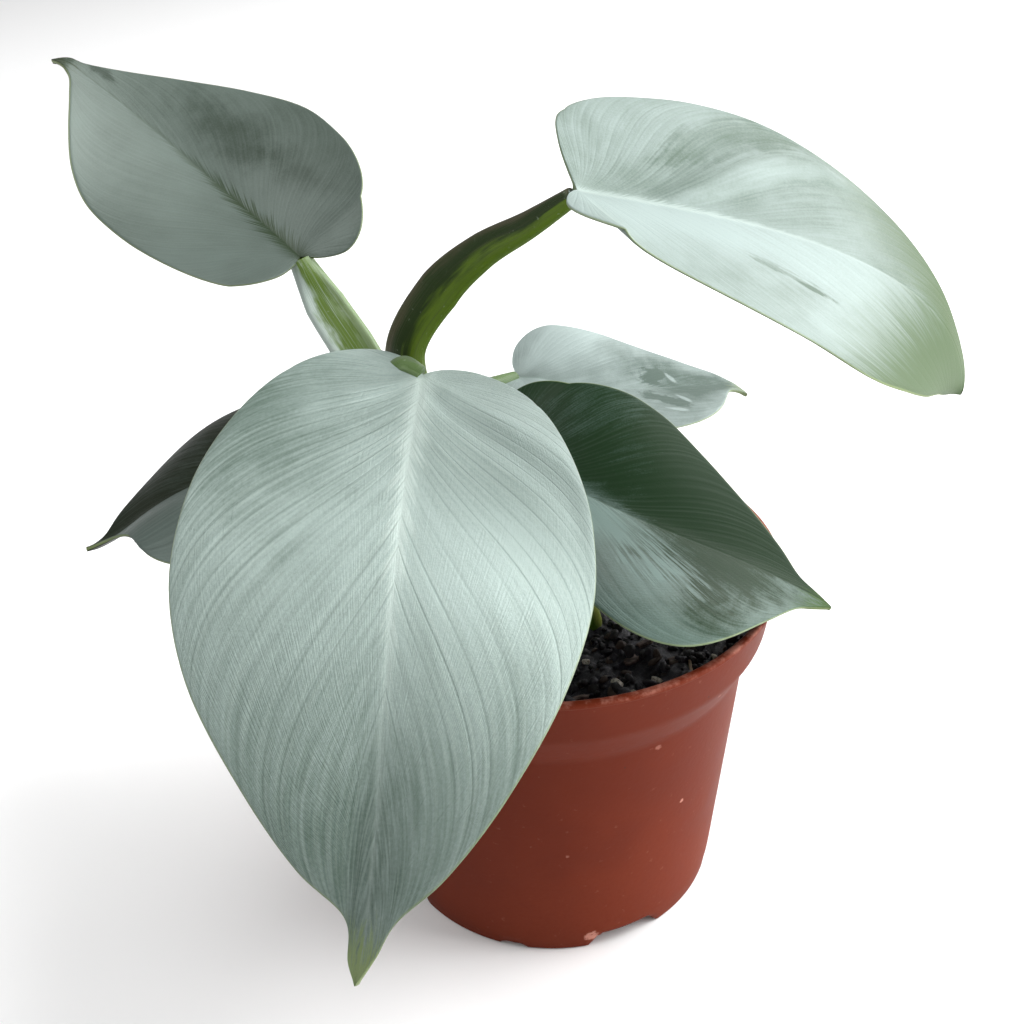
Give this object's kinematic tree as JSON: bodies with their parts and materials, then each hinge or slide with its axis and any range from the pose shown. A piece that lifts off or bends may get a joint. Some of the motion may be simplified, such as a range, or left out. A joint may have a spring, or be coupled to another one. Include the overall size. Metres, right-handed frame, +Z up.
{
  "type": "potted philodendron hastatum",
  "caption": "Young philodendron hastatum with broad silver green leaves on arching stalks, standing in a round terracotta red nursery pot of dark soil.",
  "frame": {"origin": "on the floor, under the centre of the part's box in X and Y", "axes": "+Z up, -Y towards the viewer of the picture, +X to the right; the pot's own axis is upright, a little to the right of and behind the origin"},
  "size_m": [0.2206, 0.19, 0.2103],
  "materials": {
    "leaf blade": "silver green, satin, slightly waxy",
    "petiole": "green, smooth, satin",
    "stem": "green, ringed by old leaf scars",
    "shoot": "bright green, smooth",
    "pot": "terracotta red, smooth, faintly scuffed",
    "soil": "dark crumbly peat mix",
    "perlite": "white, matt",
    "bark": "brown, rough",
    "straw": "dry plant fibre, matt"
  },
  "bodies": {
    "root": {"blade-high-right": "leaf blade", "petiole-high-right": "petiole", "blade-high-left": "leaf blade", "petiole-high-left": "petiole", "blade-front": "leaf blade", "petiole-front": "petiole", "blade-small": "leaf blade", "petiole-small": "petiole", "blade-right": "leaf blade", "petiole-right": "petiole", "blade-left": "leaf blade", "petiole-left": "petiole", "perlite-1": "perlite", "perlite-2": "perlite", "perlite-3": "perlite", "perlite-4": "perlite", "perlite-5": "perlite", "perlite-6": "perlite", "perlite-7": "perlite", "perlite-8": "perlite", "perlite-9": "perlite", "perlite-10": "perlite", "perlite-11": "perlite", "perlite-12": "perlite", "perlite-13": "perlite", "perlite-14": "perlite", "bark-1": "bark", "bark-2": "bark", "bark-3": "bark", "bark-4": "bark", "bark-5": "bark", "bark-6": "bark", "bark-7": "bark", "bark-8": "bark", "bark-9": "bark", "bark-10": "bark", "bark-11": "bark", "bark-12": "bark", "pot": "pot", "soil": "soil", "stem": "stem", "shoot": "shoot", "straw": "straw"}
  },
  "joints": []
}
